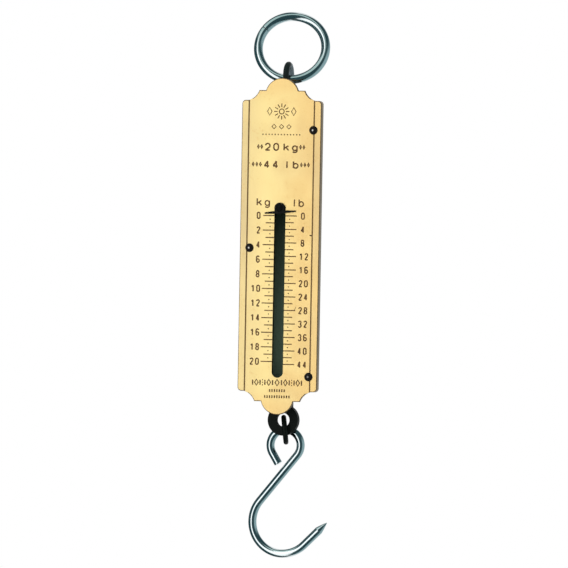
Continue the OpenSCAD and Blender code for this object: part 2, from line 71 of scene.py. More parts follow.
# All places below are in millimetres from the plate's middle, with the load line at x = 0, y = 0
ringHinge = next(joint for joint in frame["joints"] if joint["name"] == "ring_swing")
plateLow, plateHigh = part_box("face_plate")
middle = Vector(((plateLow.x + plateHigh.x) / 2, ringHinge["pos_m"][1],
                 (plateLow.z + plateHigh.z) / 2))
faceY = (plateLow.y - middle.y) / mm
print("frame loaded with", len(nodes), "CAD nodes")


def at(x, y, z):
    return middle + Vector((x, y, z)) * mm


def colour(red, green, blue):  # the numbers of a colour picker, made linear for the shaders
    channels = [level / 255 for level in (red, green, blue)]
    linear = [c / 12.92 if c <= 0.04045 else ((c + 0.055) / 1.055) ** 2.4 for c in channels]
    return (*linear, 1)


class Signal:  # one output of a shader node; arithmetic on it adds Math nodes
    def __init__(self, tree, socket=None):
        self.tree = tree
        self.socket = socket

    def node(self, kind, settings=None, sockets=None, output=0):
        made = self.tree.nodes.new("ShaderNode" + kind)
        for name, value in (settings or {}).items():
            setattr(made, name, value)
        for name, value in (sockets or {}).items():
            if isinstance(value, Signal):
                self.tree.links.new(value.socket, made.inputs[name])
            else:
                made.inputs[name].default_value = value
        return Signal(self.tree, made.outputs[output] if made.outputs else None)

    def other(self, output):  # another output of the same node
        return Signal(self.tree, self.socket.node.outputs[output])

    def maths(self, operation, *values):
        return self.node("Math", {"operation": operation}, dict(enumerate(values)))

    def __add__(self, value):
        return self.maths("ADD", self, value)

    def __radd__(self, value):
        return self.maths("ADD", value, self)

    def __sub__(self, value):
        return self.maths("SUBTRACT", self, value)

    def __rsub__(self, value):
        return self.maths("SUBTRACT", value, self)

    def __mul__(self, value):
        return self.maths("MULTIPLY", self, value)

    def __truediv__(self, value):
        return self.maths("DIVIDE", self, value)

    def __neg__(self):
        return self.maths("MULTIPLY", self, -1)

    def __abs__(self):
        return self.maths("ABSOLUTE", self)

    def rise(self, low, high):  # 0 below low, 1 above high and smooth between
        sockets = {0: self, 1: low, 2: high}
        return self.node("MapRange", {"interpolation_type": "SMOOTHSTEP"}, sockets)

    def window(self, low, high, soft):  # 1 between low and high, with soft ends
        return self.rise(low - soft, low + soft) * (1 - self.rise(high - soft, high + soft))

    def relief(self, height, strength, depth):  # a bump; the depth is in mm
        sockets = {"Strength": strength, "Distance": depth * mm, "Height": height}
        return self.node("Bump", {}, sockets)

    def blend(self, first, second):  # two colours, mixed by this value
        return self.node("Mix", {"data_type": "RGBA"}, {0: self, 6: first, 7: second}, 2)

    def noise(self, place, size, detail, stretch=(1, 1, 1)):  # size is the patches' width in mm
        sockets = {0: place, 3: [1 / (size * mm * part) for part in stretch]}
        scaled = self.node("Mapping", {"vector_type": "POINT"}, sockets)
        return self.node("TexNoise", {}, {"Vector": scaled, "Scale": 1, "Detail": detail})


def newMaterial(name):
    material = bpy.data.materials.new(name)
    material.use_nodes = True
    material.node_tree.nodes.clear()
    start = Signal(material.node_tree)
    place = start.node("TexCoord", output="Object")
    return material, start, place


def finishMaterial(start, settings):
    shader = start.node("BsdfPrincipled", {}, settings)
    start.node("OutputMaterial", {}, {"Surface": shader})


def partsOf(start, place):  # x, y and z in millimetres from the plate's middle
    split = start.node("SeparateXYZ", {}, {0: place})
    return [(split.other(axis) - middle[axis]) / mm for axis in range(3)]


brass = {
    "left": (244, 218, 154), "pale": (254, 228, 157), "warm": (247, 211, 140),
    "stain": (222, 164, 86), "speck": (150, 112, 70), "dull": (216, 192, 146),
    # the outline colour is painted shade along the side edges, and the edge colour is painted shade
    # on the plate's sides
    "edge": (104, 86, 60), "outline": (150, 126, 86), "roughness": 0.36, "metallic": 0.85,
    "broad": 26, "patch": 9, "grain": 0.9, "brushed": 0.25,  # the widths of the noises' patches
    "brushStretch": 40, "speckSize": 0.55, "speckPatch": 4,
    "width": 31, "leftFade": (-15, -5), "domeFade": (53, 61), "strip": (12.4, 13.2),
    "stripMiddle": 18, "stripFade": (-42, -6), "paintedEdgeShade": (15.1, 15.45), "corner": (50, 54),
    "side": (0.03, 0.14),  # depths behind the face, past which the plate's sides take the edge colour as painted shade
    "shares": {"dome": 0.9, "dull": 0.3, "strip": 0.4, "stain": 0.34, "speck": 0.5,
               "outline": 0.6, "edge": 0.9},
}


def brassFace():
    material, start, place = newMaterial("satin_brass")
    x, y, z = partsOf(start, place)
    look, shares = brass, brass["shares"]
    patches = start.noise(place, look["patch"], 3)
    grain = start.noise(place, look["grain"], 3)
    brushed = start.noise(place, look["brushed"], 2, (1, 1, look["brushStretch"]))
    broad = start.noise(place, look["broad"], 2)
    across = (x / look["width"] + 0.5 + (patches - 0.5) * 0.9).rise(0.25, 0.95)
    fromLeft = (x + (patches - 0.5) * 6).rise(*look["leftFade"])
    tone = fromLeft.blend(colour(*look["left"]), colour(*look["pale"]))
    domes = abs(z).rise(*look["domeFade"]) * shares["dome"]
    tone = across.maths("MAXIMUM", across, domes).blend(tone, colour(*look["warm"]))
    strips = abs(x).rise(*look["strip"]) * (-abs(z - look["stripMiddle"])).rise(*look["stripFade"])
    dull = broad.rise(0.45, 0.75) * shares["dull"] + strips * shares["strip"]
    tone = dull.blend(tone, colour(*look["dull"]))
    mottled = grain.rise(0.5, 0.8) * patches.rise(0.4, 0.7) * shares["stain"]
    tone = mottled.blend(tone, colour(*look["stain"]))
    specks = (start.noise(place, look["speckSize"], 1).rise(0.74, 0.82)
              * start.noise(place, look["speckPatch"], 1).rise(0.5, 0.6))
    tone = (specks * shares["speck"]).blend(tone, colour(*look["speck"]))
    # painted shade: a darker outline along the plate's side edges, away from the corners
    paintedEdgeShade = abs(x).rise(*look["paintedEdgeShade"]) * (1 - abs(z).rise(*look["corner"]))
    tone = (paintedEdgeShade * shares["outline"]).blend(tone, colour(*look["outline"]))
    # painted shade: the plate's sides, deeper than the face, are darkened
    side = y.rise(*[faceY + depth for depth in look["side"]])
    tone = (side * shares["edge"]).blend(tone, colour(*look["edge"]))
    rough = look["roughness"] + (brushed - 0.5) * 0.1 + (patches - 0.5) * 0.08
    normal = start.relief(brushed * 0.5 + grain * 0.5, 0.25, 0.02)
    finishMaterial(start, {"Base Color": tone, "Roughness": rough, "Metallic": look["metallic"],
                           "Normal": normal})
    return material


filler = {
    "dark": (94, 68, 42), "light": (138, 104, 66), "paintedLineShade": (140, 112, 72),
    "lines": (12.2, 13.3), "lineSoft": 0.15, "paintedLineShadeShare": 0.7, "cloud": 0.8,
    "roughness": 0.65, "specular": 0.3,
}


def engravedPaint():  # black filler, worn to brown, that lies in the marks and lines; in the score lines it is painted shade
    material, start, place = newMaterial("worn_filler_and_line_shade")
    x = partsOf(start, place)[0]
    worn = start.noise(place, filler["cloud"], 3).rise(0.35, 0.75)
    tone = worn.blend(colour(*filler["dark"]), colour(*filler["light"]))
    # painted shade in the score lines, in a lighter brown
    line = abs(x).window(*filler["lines"], filler["lineSoft"])
    tone = (line * filler["paintedLineShadeShare"]).blend(tone, colour(*filler["paintedLineShade"]))
    finishMaterial(start, {"Base Color": tone, "Roughness": filler["roughness"],
                           "Metallic": 0.0, "Specular IOR Level": filler["specular"]})
    return material


plating = {
    "dark": (202, 214, 216), "light": (214, 223, 224), "roughness": 0.1,
    "cloud": 6, "wave": 2.4, "pit": 0.35,
}


def platedWire():
    material, start, place = newMaterial("bright_plate")
    cloud = start.noise(place, plating["cloud"], 3)
    pits = start.noise(place, plating["pit"], 2)
    waves = start.noise(place, plating["wave"], 2)
    tone = cloud.rise(0.3, 0.7).blend(colour(*plating["dark"]), colour(*plating["light"]))
    rough = plating["roughness"] + cloud.rise(0.4, 0.8) * 0.07 + pits.rise(0.6, 0.8) * 0.12
    normal = start.relief(waves * 0.8 + pits * 0.2, 0.35, 0.06)
    finishMaterial(start, {"Base Color": tone, "Roughness": rough, "Metallic": 1.0,
                           "Normal": normal})
    return material


enamels = {
    "casing": {"dark": (8, 13, 11), "light": (18, 25, 20), "gloss": 0.45},
    "pointer": {"dark": (13, 14, 12), "light": (24, 22, 19), "gloss": 0.5},
    "cloud": 3, "fine": 0.3, "specular": 0.12,
}


def blackSteel(name, kind):
    material, start, place = newMaterial(name)
    look = enamels[kind]
    cloud = start.noise(place, enamels["cloud"], 4)
    fine = start.noise(place, enamels["fine"], 3)
    tone = (cloud * 0.6 + fine * 0.4).rise(0.4, 0.7).blend(colour(*look["dark"]),
                                                           colour(*look["light"]))
    rough = look["gloss"] + (fine - 0.5) * 0.2
    normal = start.relief(fine, 0.3, 0.03)
    finishMaterial(start, {"Base Color": tone, "Roughness": rough, "Normal": normal,
                           "Specular IOR Level": enamels["specular"]})
    return material


# the eye's colours; its grey is a painted sheen
eyeLook = {
    "black": (22, 34, 33), "paintedSheen": (126, 140, 146), "stain": (30, 40, 40),
    "behind": (-0.4, 0.3), "above": (57.5, 59), "cloud": 2.5, "fine": 0.4,
    "roughness": 0.5, "specular": 0.15,
}


def rubbedEye():  # black in front, with a painted grey sheen on the limb behind, at the top where the ring hangs
    material, start, place = newMaterial("eye_painted_sheen")
    y, z = partsOf(start, place)[1:]
    fine = start.noise(place, eyeLook["fine"], 3)
    cloud = start.noise(place, eyeLook["cloud"], 3)
    # painted sheen: grey on the eye's back limb, at its top
    paintedSheen = (y + (cloud - 0.5) * 0.8).rise(*eyeLook["behind"]) * z.rise(*eyeLook["above"])
    tone = paintedSheen.blend(colour(*eyeLook["black"]), colour(*eyeLook["paintedSheen"]))
    tone = (fine.rise(0.5, 0.8) * 0.4).blend(tone, colour(*eyeLook["stain"]))
    normal = start.relief(fine, 0.3, 0.03)
    finishMaterial(start, {"Base Color": tone, "Roughness": eyeLook["roughness"],
                           "Normal": normal, "Specular IOR Level": eyeLook["specular"]})
    return material


# the bar's colours; its green is painted light where the slot shows the bar
barLook = {
    "black": (14, 20, 17), "above": (58, 74, 60), "green": (116, 142, 122),
    "stain": (20, 26, 22), "disc": (-57, -53), "slot": (-52, 18), "slotSoft": 2,
    "paintedLightRise": (-14, 40), "paintedLightShare": 0.8, "fine": 0.5, "roughness": 0.55, "specular": 0.12,
}


def barEnamel():  # painted light: greenish where the slot shows it, and lighter towards the slot's lower end
    material, start, place = newMaterial("bar_enamel_painted_light")
    z = partsOf(start, place)[2]
    fine = start.noise(place, barLook["fine"], 3)
    # painted light behind the slot, growing towards the slot's lower end
    paintedSlotLight = z.window(*barLook["slot"], barLook["slotSoft"]) * (-z).rise(*barLook["paintedLightRise"])
    base = z.rise(*barLook["disc"]).blend(colour(*barLook["black"]), colour(*barLook["above"]))
    tone = (paintedSlotLight * barLook["paintedLightShare"]).blend(base, colour(*barLook["green"]))
    tone = (fine.rise(0.5, 0.8) * 0.3).blend(tone, colour(*barLook["stain"]))
    normal = start.relief(fine, 0.3, 0.03)
    finishMaterial(start, {"Base Color": tone, "Roughness": barLook["roughness"],
                           "Normal": normal, "Specular IOR Level": barLook["specular"]})
    return material


turned = {
    "spring": {"tone": (150, 152, 152), "gloss": 0.3},
    "oiled": {"tone": (128, 130, 128), "gloss": 0.35},
    "shade": 0.72, "cloud": 2.5, "fine": 0.25,
}


def turnedSteel(name, kind):
    material, start, place = newMaterial(name)
    look = turned[kind]
    cloud = start.noise(place, turned["cloud"], 3)
    fine = start.noise(place, turned["fine"], 2)
    darker = [part * turned["shade"] for part in look["tone"]]
    tone = cloud.rise(0.3, 0.75).blend(colour(*look["tone"]), colour(*darker))
    rough = look["gloss"] + (fine - 0.5) * 0.2
    normal = start.relief(fine, 0.3, 0.02)
    finishMaterial(start, {"Base Color": tone, "Roughness": rough, "Metallic": 1.0,
                           "Normal": normal})
    return material


rivetLook = {
    "dark": (24, 22, 21), "light": (44, 40, 36), "highlightTone": (206, 204, 198), "fine": 0.3,
    "crown": (0.99, 0.945),  # heights in front of the face, within which the domes' crowns are painted bright as a highlight
    "bottomHighlightShare": 0.4, "bottomHighlightBelow": (-40, -20),  # the painted highlight is dimmer on the bottom rivet
    "roughness": 0.3, "specular": 0.15,
}


def rivetBlack():
    material, start, place = newMaterial("rivet_black_painted_highlight")
    y, z = partsOf(start, place)[1:]
    look = rivetLook
    fine = start.noise(place, look["fine"], 3)
    # painted highlight: bright bare metal on each dome's crown
    crown = 1 - (y + (fine - 0.5) * 0.03).rise(*[faceY - height for height in look["crown"]])
    tone = fine.rise(0.45, 0.75).blend(colour(*look["dark"]), colour(*look["light"]))
    crown = crown * (look["bottomHighlightShare"] + z.rise(*look["bottomHighlightBelow"]) * (1 - look["bottomHighlightShare"]))
    tone = crown.blend(tone, colour(*look["highlightTone"]))
    finishMaterial(start, {"Base Color": tone, "Roughness": look["roughness"],
                           "Metallic": crown, "Specular IOR Level": look["specular"]})
    return material


# Modelling helpers. All is deselected first, because an operator acts on all that is selected
def onlySelect(piece):
    if bpy.context.mode != "OBJECT":
        bpy.ops.object.mode_set(mode="OBJECT")
    bpy.ops.object.select_all(action="DESELECT")
    piece.select_set(True)
    bpy.context.view_layer.objects.active = piece


def named(name):  # the piece that was just made, under its own name
    piece = bpy.context.view_layer.objects.active
    piece.name = name
    piece.data.name = name
    return piece


def settle(piece):  # moves the piece's place into its mesh
    onlySelect(piece)
    bpy.ops.object.transform_apply(location=True, rotation=True, scale=True)


def placed(name, data):  # a new object of this data, in the scene
    made = bpy.data.objects.new(name, data)
    bpy.context.scene.collection.objects.link(made)
    return made


def paint(piece, *materials):
    piece.data.materials.clear()
    for material in materials:
        piece.data.materials.append(material)


def smooth(piece, angle):
    onlySelect(piece)
    bpy.ops.object.shade_smooth_by_angle(angle=math.radians(angle))


def selectParts(piece, kind, test):  # in edit mode, selects the edges or faces that pass
    bpy.ops.mesh.select_mode(type=kind)
    bpy.ops.mesh.select_all(action="DESELECT")
    bpy.ops.object.mode_set(mode="OBJECT")
    members = {"EDGE": piece.data.edges, "FACE": piece.data.polygons}
    for member in members[kind]:
        member.select = bool(test(member))
    bpy.ops.object.mode_set(mode="EDIT")


ringShape = {
    "diameter": 25.4, "wire": 3.4, "lean": 21, "turn": 11, "seat": 62.695,  # its hinge's height
    "shift": 0.75,  # how far it hangs to the right of the eye
    "seam": 0.18, "seamAt": 145, "seamBevel": 0.08, "sides": 48, "steps": 180, "smooth": 40,
}


def startWire(name, centre, heading, wire, sides):
    bpy.ops.object.select_all(action="DESELECT")
    turn = heading.to_track_quat("Z", "Y").to_euler()
    bpy.ops.mesh.primitive_circle_add(vertices=sides, radius=wire / 2 * mm, location=centre,
                                      rotation=turn)
    piece = named(name)
    settle(piece)
    bpy.ops.object.mode_set(mode="EDIT")
    bpy.ops.mesh.select_mode(type="VERT")
    bpy.ops.mesh.select_all(action="SELECT")
    return piece


def closeWire():
    bpy.ops.mesh.select_mode(type="VERT")
    bpy.ops.mesh.select_all(action="SELECT")
    bpy.ops.mesh.fill_holes(sides=0)
    bpy.ops.mesh.select_all(action="SELECT")
    bpy.ops.mesh.normals_make_consistent(inside=False)


def makeRing(material):
    size = ringShape
    lean, turn = math.radians(size["lean"]), math.radians(size["turn"])
    radius = size["diameter"] / 2
    side = Vector((math.cos(turn), math.sin(turn), 0))
    upward = Vector((-math.sin(turn) * math.sin(lean), math.cos(turn) * math.sin(lean),
                     math.cos(lean)))
    axis = side.cross(upward)
    centre = at(size["shift"], 0, size["seat"]) + upward * radius * mm
    angle = math.radians(size["seamAt"])
    outward = side * math.cos(angle) + upward * math.sin(angle)
    heading = axis.cross(outward)
    piece = startWire("suspensionRing", centre + outward * radius * mm, heading, size["wire"],
                      size["sides"])
    around = 2 * math.pi - size["seam"] / radius
    bpy.ops.mesh.spin(steps=size["steps"], angle=around, center=centre, axis=axis)
    closeWire()
    selectParts(piece, "FACE", lambda face: len(face.vertices) == size["sides"])
    bpy.ops.mesh.bevel(offset=size["seamBevel"] * mm, segments=3, affect="EDGES")
    smooth(piece, size["smooth"])
    paint(piece, material)
    return piece


hookShape = {
    "wire": 3.1, "back": 2.95, "sides": 48, "steps": 72, "smooth": 14,
    "curlRadius": 5.9, "curlAt": (0.5, -74.7093), "curlEnd": 211, "tail": 4.7,
    "bowlRadius": 11.95, "bowlAt": (-0.05, -103.5093), "bowlEnd": 45.9,
    "beak": 8.1, "point": 4.2, "tip": 0.3, "endBevel": 0.3,
    "grind": ((0.5, 0.59),),  # shares of the point's length and of the wire's thickness
}


def makeHook(material):
    size = hookShape
    back = size["back"]
    axis = Vector((0, -1, 0))

    def spot(flat, radius=0, angle=0):  # a point of the hook's own plane
        turn = math.radians(angle)
        return at(flat[0] + radius * math.cos(turn), back, flat[1] + radius * math.sin(turn))

    def toward(angle):
        turn = math.radians(angle)
        return Vector((math.cos(turn), 0, math.sin(turn)))

    def push(vector):
        bpy.ops.mesh.extrude_region_move(TRANSFORM_OT_translate={"value": vector})

    curl, bowl = Vector(size["curlAt"]), Vector(size["bowlAt"])
    across = bowl - curl
    radii = size["curlRadius"] + size["bowlRadius"]
    leave = math.degrees(math.atan2(across.y, across.x) + math.acos(radii / across.length))
    shank = math.sqrt(across.length ** 2 - radii ** 2)
    tailWay = toward(size["curlEnd"] + 90)
    start = spot(curl, size["curlRadius"], size["curlEnd"]) + tailWay * size["tail"] * mm
    piece = startWire("loadHook", start, -tailWay, size["wire"], size["sides"])
    push(-tailWay * size["tail"] * mm)
    bpy.ops.mesh.spin(steps=size["steps"], angle=math.radians(size["curlEnd"] - leave),
                      center=spot(curl), axis=axis)
    push(toward(leave - 90) * shank * mm)
    bowlFrom, bowlTo = leave + 180, 360 - size["bowlEnd"]
    bpy.ops.mesh.spin(steps=size["steps"], angle=math.radians(bowlFrom - bowlTo),
                      center=spot(bowl), axis=axis)
    beakWay = toward(bowlTo + 90)
    push(beakWay * size["beak"] * mm)
    root = spot(bowl, size["bowlRadius"], bowlTo) + beakWay * size["beak"] * mm
    done, thick = 0, 1
    for share, width in (*size["grind"], (1, size["tip"] / size["wire"])):
        push(beakWay * size["point"] * (share - done) * mm)
        bpy.ops.transform.resize(value=[width / thick] * 3,
                                 center_override=root + beakWay * size["point"] * share * mm)
        done, thick = share, width
    closeWire()
    selectParts(piece, "FACE", lambda face: len(face.vertices) == size["sides"]
                and (face.center - start).length < mm)
    bpy.ops.mesh.bevel(offset=size["endBevel"] * mm, segments=2, affect="EDGES")
    smooth(piece, size["smooth"])
    paint(piece, material)
    return piece


springShape = {
    "wire": 1.4, "coil": 10.0, "pitch": 1.82, "turns": 10 + 1 / 3, "loop": 6.0, "loopAngle": 230,
    "lowerHole": 18.395, "upperHole": 48.595, "leadAngle": 60, "smooth": 50,
    "resolution": 2, "perTurn": 30, "leadSteps": 12, "loopSteps": 36,
}


def springPath():  # the centre line, and for each point how far it follows the draw bar
    size = springShape
    coilRadius, loopRadius = size["coil"] / 2, size["loop"] / 2
    length = size["turns"] * size["pitch"]
    halfway = (size["lowerHole"] + size["upperHole"]) / 2
    bottom = halfway - length / 2

    def coilPoint(share):
        turn = math.radians(share * size["turns"] * 360 - size["leadAngle"])
        return Vector((coilRadius * math.cos(turn), coilRadius * math.sin(turn),
                       bottom + share * length))

    steps = round(size["turns"] * size["perTurn"])
    coil = [coilPoint(i / steps) for i in range(steps + 1)]
    loopMiddle = size["upperHole"] - loopRadius
    first = Vector((0, loopRadius, loopMiddle))
    pull = (first - coil[-1]).length / 2
    heading = (coil[-1] - coil[-2]).normalized()
    corners = [coil[-1], coil[-1] + heading * pull, first - Vector((0, 0, pull)), first]
    lead = [bezier(corners, i / size["leadSteps"]) for i in range(1, size["leadSteps"])]
    turns = [math.radians(i * size["loopAngle"] / size["loopSteps"])
             for i in range(size["loopSteps"] + 1)]
    upper = lead + [first + Vector((0, loopRadius * (math.cos(turn) - 1),
                                    loopRadius * math.sin(turn))) for turn in turns]
    lower = [Vector((p.x, -p.y, 2 * halfway - p.z)) for p in reversed(upper)]
    follows = [1.0] * len(lower) + [1 - i / steps for i in range(steps + 1)] + [0.0] * len(upper)
    return lower + coil + upper, follows


def bezier(corners, share):
    rest = 1 - share
    weights = [rest ** 3, 3 * share * rest ** 2, 3 * share ** 2 * rest, share ** 3]
    return sum((corner * weight for corner, weight in zip(corners, weights)), Vector())


def sweptCurve(name, paths, radius, resolution, closed=()):  # round cutters or wire along paths
    line = bpy.data.curves.new(name, "CURVE")
    line.dimensions = "3D"
    line.bevel_depth = radius * mm
    line.bevel_resolution = resolution
    line.use_fill_caps = True
    for index, path in enumerate(paths):
        spline = line.splines.new("POLY")
        spline.points.add(len(path) - 1)
        for point, place in zip(spline.points, path):
            point.co = (*place, 1)
        spline.use_cyclic_u = index in closed
    onlySelect(placed(name, line))
    bpy.ops.object.convert(target="MESH")
    piece = named(name)
    bpy.ops.object.mode_set(mode="EDIT")
    bpy.ops.mesh.select_all(action="SELECT")
    bpy.ops.mesh.remove_doubles(threshold=weld)
    bpy.ops.mesh.normals_make_consistent(inside=False)
    bpy.ops.object.mode_set(mode="OBJECT")
    return piece


def makeSpring(material):
    size = springShape
    path, follows = springPath()
    places = [at(*point) for point in path]
    piece = sweptCurve("coilSpring", [places], size["wire"] / 2, size["resolution"])
    smooth(piece, size["smooth"])
    paint(piece, material)
    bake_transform(piece)
    tree = KDTree(len(places))
    for index, place in enumerate(places):
        tree.insert(place, index)
    tree.balance()
    shares = [follows[tree.find(vertex.co)[1]] for vertex in piece.data.vertices]
    return piece


engraving = {
    "figure": (0.53, 0.16), "bold": (0.6, 0.18),  # widths and depths of the pen strokes
    "fine": (0.4, 0.12), "scratch": (0.22, 0.06), "resolution": 3,
}


def bite(piece, strokes, cut):  # cuts pen strokes into the face, none of which may cross
    width, depth = engraving[cut]
    radius = (width * width / 4 + depth * depth) / (2 * depth)
    front = faceY - radius + depth
    paths = [[at(x, front, z) for x, z in points] for points, closed in strokes]
    rings = {index for index, (points, closed) in enumerate(strokes) if closed}
    tool = sweptCurve("cutter", paths, radius, engraving["resolution"], rings)
    paint(tool, *piece.data.materials)
    for face in tool.data.polygons:
        face.material_index = 1
    onlySelect(piece)
    modifier = piece.modifiers.new("engraving", "BOOLEAN")
    modifier.operation, modifier.object, modifier.solver = "DIFFERENCE", tool, "MANIFOLD"
    bpy.ops.object.modifier_apply(modifier=modifier.name)
    onlySelect(tool)
    bpy.ops.object.delete()


figures = {
    "height": 2.28, "width": 1.04, "pitch": 2.12,
    "leftEdge": {1: 7.55, 2: 7.25}, "rightEdge": {1: 8.2, 2: 7.7},  # by the number of digits
    "zero": 11.495, "kgPitch": 2.737, "lbPitch": 1.266, "kgStep": 2, "lbStep": 4,
    "kgLast": 20, "lbLast": 44,
}

lettering = {  # each word with its middle's x and z and its letters' pitch
    "units": {"wide": 1.6, "tall": 2.6,
              "words": (("kg", -6.6, 16.6, 3.1), ("lb", 6.9, 16.4, 2.7))},
    "head": {"wide": 1.7, "tall": 2.5,
             "words": (("20", -3.6, 37.3, 3.3), ("kg", 3.7, 37.3, 3.3),
                       ("44", -3.8, 30.7, 3.4), ("lb", 4.1, 30.7, 3.4))},
}


def arc(x, z, wide, high, first, last, steps=10):
    turns = [math.radians(first + (last - first) * i / steps) for i in range(steps + 1)]
    return [(x + wide * math.cos(turn), z + high * math.sin(turn)) for turn in turns]


def loop(x, z, wide, high, steps=16):
    return arc(x, z, wide, high, 0, 360 - 360 / steps, steps - 1), True


def glyph(letter, half, tall):  # pen strokes: the points of each, and whether it closes on itself
    low = tall * 0.27
    shapes = {
        "0": [(arc(0, tall - half, half, half, 0, 180) + arc(0, half, half, half, 180, 360), True)],
        "1": [([(half * 0.3, 0), (half * 0.3, tall)], False),
              ([(half * 0.3, tall * 0.97), (-half * 0.75, tall * 0.74)], False)],
        "2": [(arc(0, tall - half, half, half, 170, -30) + [(-half, 0)], False),
              ([(-half, 0), (half, 0)], False)],
        "3": [(arc(0, tall * 0.76, half * 0.92, tall * 0.24, 160, -85), False),
              (arc(0, tall * 0.26, half, tall * 0.26, 85, -160), False)],
        "4": [([(half * 0.35, tall), (-half, low)], False), ([(-half, low), (half, low)], False),
              ([(half * 0.35, tall), (half * 0.35, 0)], False)],
        "6": [loop(0, low, half, low),
              ([(-half, low), (-half, tall - half)] + arc(0, tall - half, half, half, 180, 25)[1:],
               False)],
        "8": [loop(0, tall * 0.755, half * 0.9, tall * 0.245),
              loop(0, tall * 0.255, half, tall * 0.255)],
        "k": [([(-half, 0), (-half, tall)], False),
              ([(-half, tall * 0.28), (half * 0.9, tall * 0.68)], False),
              ([(-half * 0.2, tall * 0.45), (half, 0)], False)],
        "g": [loop(0, tall * 0.34, half, tall * 0.34),
              ([(half, tall * 0.7), (half, -tall * 0.05)]
               + arc(0, -tall * 0.05, half, tall * 0.24, 0, -150)[1:], False)],
        "l": [([(0, 0), (0, tall)], False)],
        "b": [([(-half, 0), (-half, tall)], False), loop(0, tall * 0.34, half, tall * 0.34)],
    }
    return shapes.get(letter, [])


def word(text, x, z, align, wide=1.0, pitch=None, tall=None):  # align: -1 left, 0 middle, 1 right
    step = pitch or figures["pitch"]
    half = figures["width"] / 2 * wide
    height = tall or figures["height"]
    length = step * (len(text) - 1)
    border = half + engraving["figure"][0] / 2
    start = x - (align + 1) / 2 * length - align * border
    passes = [[], [], []]  # a glyph's strokes cross, so each of them is cut in its own pass
    for index, letter in enumerate(text):
        for turn, (points, closed) in enumerate(glyph(letter, half, height)):
            moved = [(start + index * step + px, z - height / 2 + pz) for px, pz in points]
            passes[turn].append((moved, closed))
    return passes


def wordsOf(group):
    look = lettering[group]
    return [word(text, x, z, 0, look["wide"], pitch, look["tall"])
            for text, x, z, pitch in look["words"]]


def layered(words):  # the strokes of all the words, pass by pass
    return [sum((part[turn] for part in words), []) for turn in range(3)]


def scaleFigures():
    size = figures
    words = []
    for value in range(0, size["kgLast"] + 1, size["kgStep"]):
        height = size["zero"] - value * size["kgPitch"]
        words.append(word(str(value), -size["leftEdge"][len(str(value))], height, 1))
    for value in range(0, size["lbLast"] + 1, size["lbStep"]):
        height = size["zero"] - value * size["lbPitch"]
        words.append(word(str(value), size["rightEdge"][len(str(value))], height, -1))
    return layered(words + wordsOf("units"))


ornament = {
    "rosette": (0, 50.6), "eye": 0.95, "petals": 12, "petalFrom": 1.6, "petalTo": 3.0,
    "scroll": 4.7, "scrollSize": (0.9, 1.5),
    "motifs": 44.9, "motifPitch": 2.9, "motifSize": (0.85, 0.85),
    "beadRow": 41.95, "beads": 13, "beadPitch": 1.2, "beadLength": 0.45,
    "headLines": ((37.3, (7.6, 8.9)), (30.7, (8.0, 9.4, 10.8))), "headSize": (0.3, 0.75),
    "footRule": -51.1, "ruleDashes": (9.55, 6.65, 4.75, 1.75), "ruleDashLength": 1.9,
    "ruleLozenges": (8.1, 3.25), "ruleSize": (0.7, 1.15), "ruleMiddleSize": (0.8, 1.2),
    "ruleDots": 5.7, "ruleDotRises": (-0.95, 0, 0.95), "ruleDotLength": 0.35,
    "footRows": ((-54.1, 7), (-56.4, 11)),  # heights, and numbers of strokes
    "footPitch": 0.95, "footLength": 1.05,
}


def lozenge(x, z, wide, high):
    return [(x - wide, z), (x, z + high), (x + wide, z), (x, z - high)], True


def dash(x, z, length, slope=0):
    turn = math.radians(slope)
    reach = (math.cos(turn) * length / 2, math.sin(turn) * length / 2)
    return [(x - reach[0], z - reach[1]), (x + reach[0], z + reach[1])], False


def dashRow(z, count, pitch, length, slope=0):
    return [dash((index - (count - 1) / 2) * pitch, z, length, slope) for index in range(count)]


def fineOrnament():
    size = ornament
    x, z = size["rosette"]
    strokes = [loop(x, z, size["eye"], size["eye"])]
    reach = (size["petalFrom"] + size["petalTo"]) / 2
    for index in range(size["petals"]):
        slope = 360 * index / size["petals"]
        turn = math.radians(slope)
        strokes.append(dash(x + reach * math.cos(turn), z + reach * math.sin(turn),
                            size["petalTo"] - size["petalFrom"], slope))
    for side in (-1, 1):
        strokes.append(lozenge(x + side * size["scroll"], z, *size["scrollSize"]))
    for index in (-1, 0, 1):
        strokes.append(lozenge(index * size["motifPitch"], size["motifs"], *size["motifSize"]))
    return strokes


def boldOrnament():
    size = ornament
    rule = size["footRule"]
    strokes = dashRow(size["beadRow"], size["beads"], size["beadPitch"], size["beadLength"])
    for side in (-1, 1):
        strokes += [dash(side * place, rule, size["ruleDashLength"], 90)
                    for place in size["ruleDashes"]]
        strokes += [lozenge(side * place, rule, *size["ruleSize"])
                    for place in size["ruleLozenges"]]
        strokes += [dash(side * size["ruleDots"], rule + rise, size["ruleDotLength"])
                    for rise in size["ruleDotRises"]]
        for height, places in size["headLines"]:
            strokes += [lozenge(side * place, height, *size["headSize"]) for place in places]
    strokes.append(lozenge(0, rule, *size["ruleMiddleSize"]))
    for height, count in size["footRows"]:
        strokes += dashRow(height, count, size["footPitch"], size["footLength"], 90)
    return strokes


wear = {  # what use has left on the face
    "nicks": [dash(12.1, 4.3, 0.8), dash(-12.35, 31.1, 0.15)],
    "scratches": [([(6.3, -23.95), (6.75, -22.6)], False)],
}

faceShape = {  # depths are behind the face's front
    "mergeAngle": 0.5, "edgeBevel": 0.28, "smooth": 30, "flatNormal": 0.98,
    "front": 0.01, "wall": 0.5,  # what goes no deeper is front, and what goes deeper is a wall
    "markFrom": 0.02, "markTo": 0.27,  # the CAD's marks and lines lie between these
    "litFrom": 0.2, "litNormal": -0.9,  # the lines' walls that catch light and stay bare
    "slot": (2.5, 50),  # how far from the middle the slot's edges can be
}


